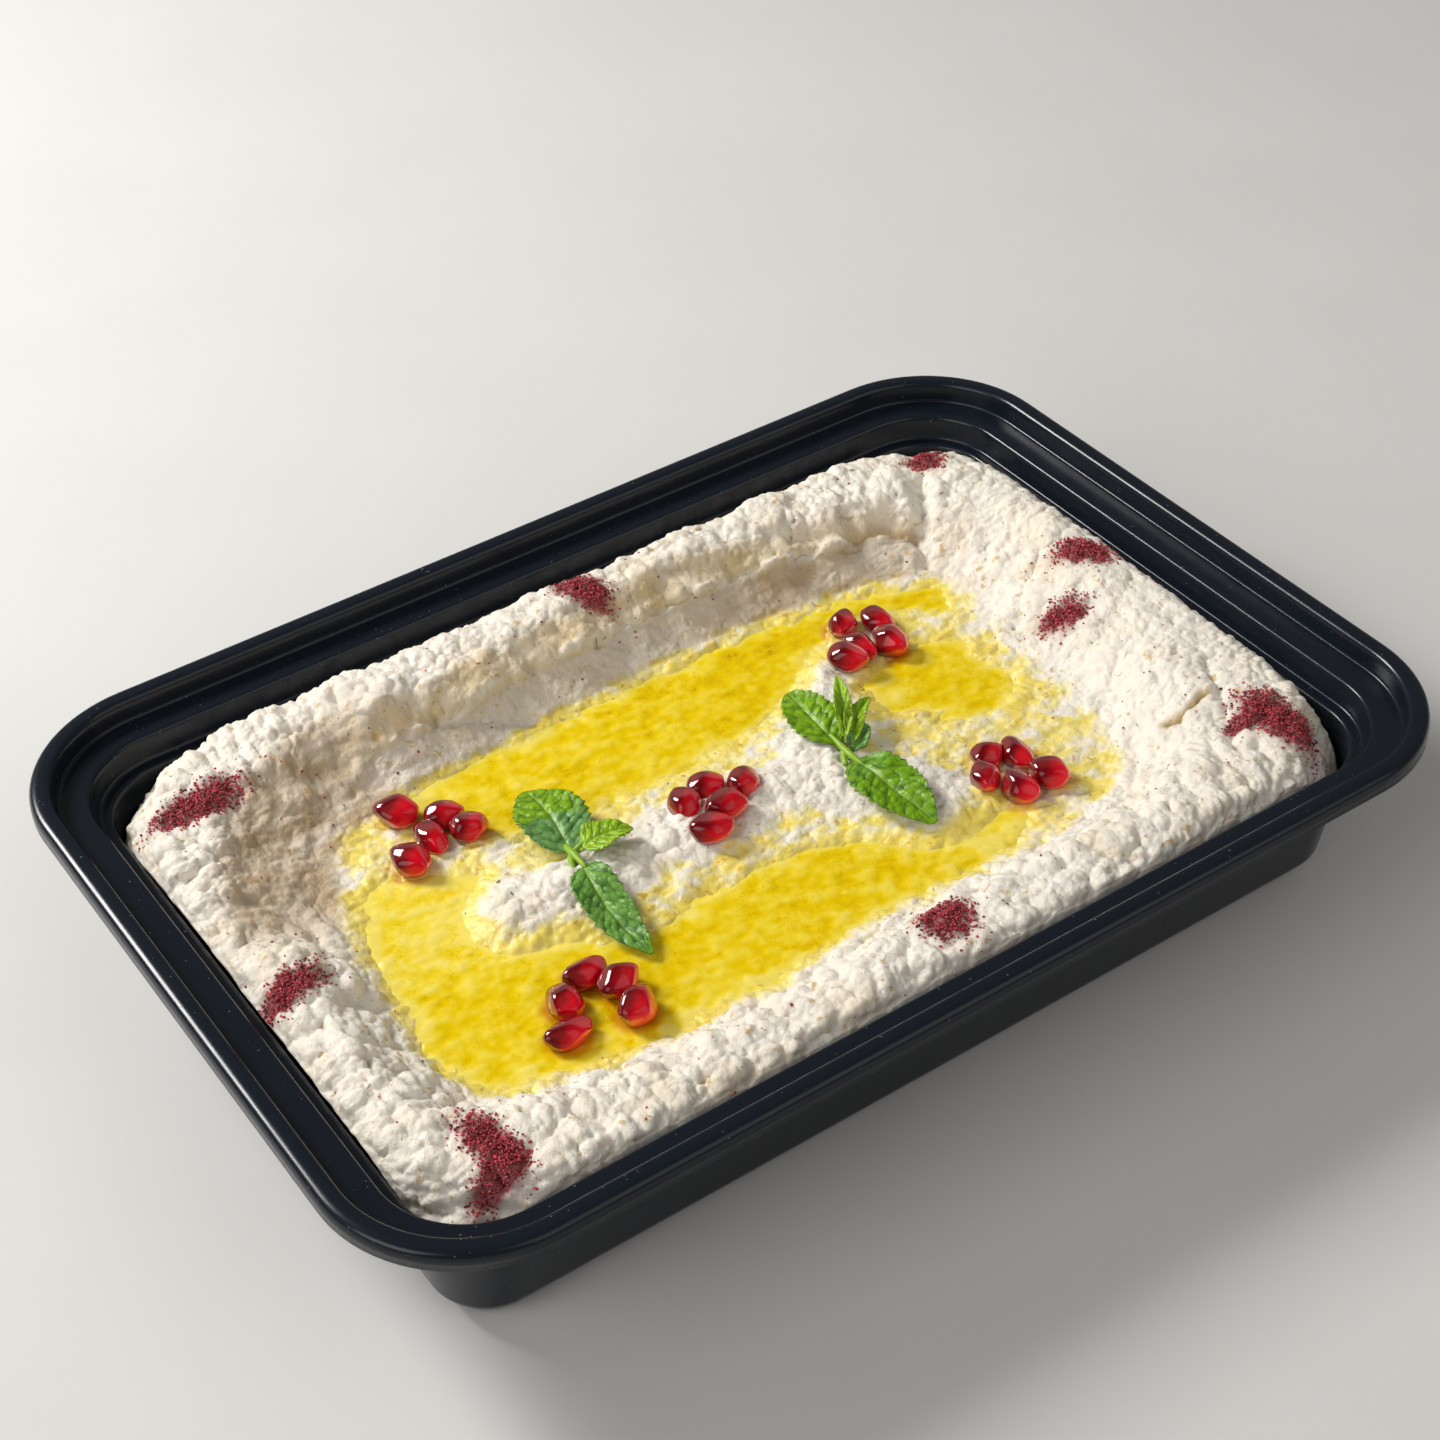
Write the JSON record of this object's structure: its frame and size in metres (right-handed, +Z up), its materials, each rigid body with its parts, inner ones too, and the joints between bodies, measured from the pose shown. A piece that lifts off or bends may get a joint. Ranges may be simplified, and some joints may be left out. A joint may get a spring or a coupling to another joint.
{
  "type": "baba ganoush in a takeaway tray",
  "caption": "Banked aubergine dip in a stepped rectangular tray, its hollow holding pools of olive oil, pomegranate arils and mint sprigs, with sumac on the bank.",
  "frame": {"origin": "middle of the tray's flat underside, on the table", "axes": "+X along the tray's long side, +Y towards the tall back bank, +Z up"},
  "size_m": [0.223, 0.1566, 0.038],
  "materials": {
    "black_plastic": "glossy black pressed plastic",
    "cream_dip": "moist coarse cream-coloured paste, slightly glossy",
    "olive_oil": "clear golden oil, very glossy",
    "pomegranate": "translucent deep red, glossy",
    "mint_leaf": "wrinkled green leaf, slightly glossy"
  },
  "bodies": {
    "root": {"tray": "black_plastic", "baba_ganoush": "cream_dip", "olive_oil_back": "olive_oil", "olive_oil_left": "olive_oil", "olive_oil_right": "olive_oil", "mint_sprig_left": "mint_leaf", "mint_sprig_right": "mint_leaf", "aril_01": "pomegranate", "aril_02": "pomegranate", "aril_03": "pomegranate", "aril_04": "pomegranate", "aril_05": "pomegranate", "aril_06": "pomegranate", "aril_07": "pomegranate", "aril_08": "pomegranate", "aril_09": "pomegranate", "aril_10": "pomegranate", "aril_11": "pomegranate", "aril_12": "pomegranate", "aril_13": "pomegranate", "aril_14": "pomegranate", "aril_15": "pomegranate", "aril_16": "pomegranate", "aril_17": "pomegranate", "aril_18": "pomegranate", "aril_19": "pomegranate", "aril_20": "pomegranate", "aril_21": "pomegranate", "aril_22": "pomegranate", "aril_23": "pomegranate", "aril_24": "pomegranate", "aril_25": "pomegranate"}
  },
  "joints": []
}
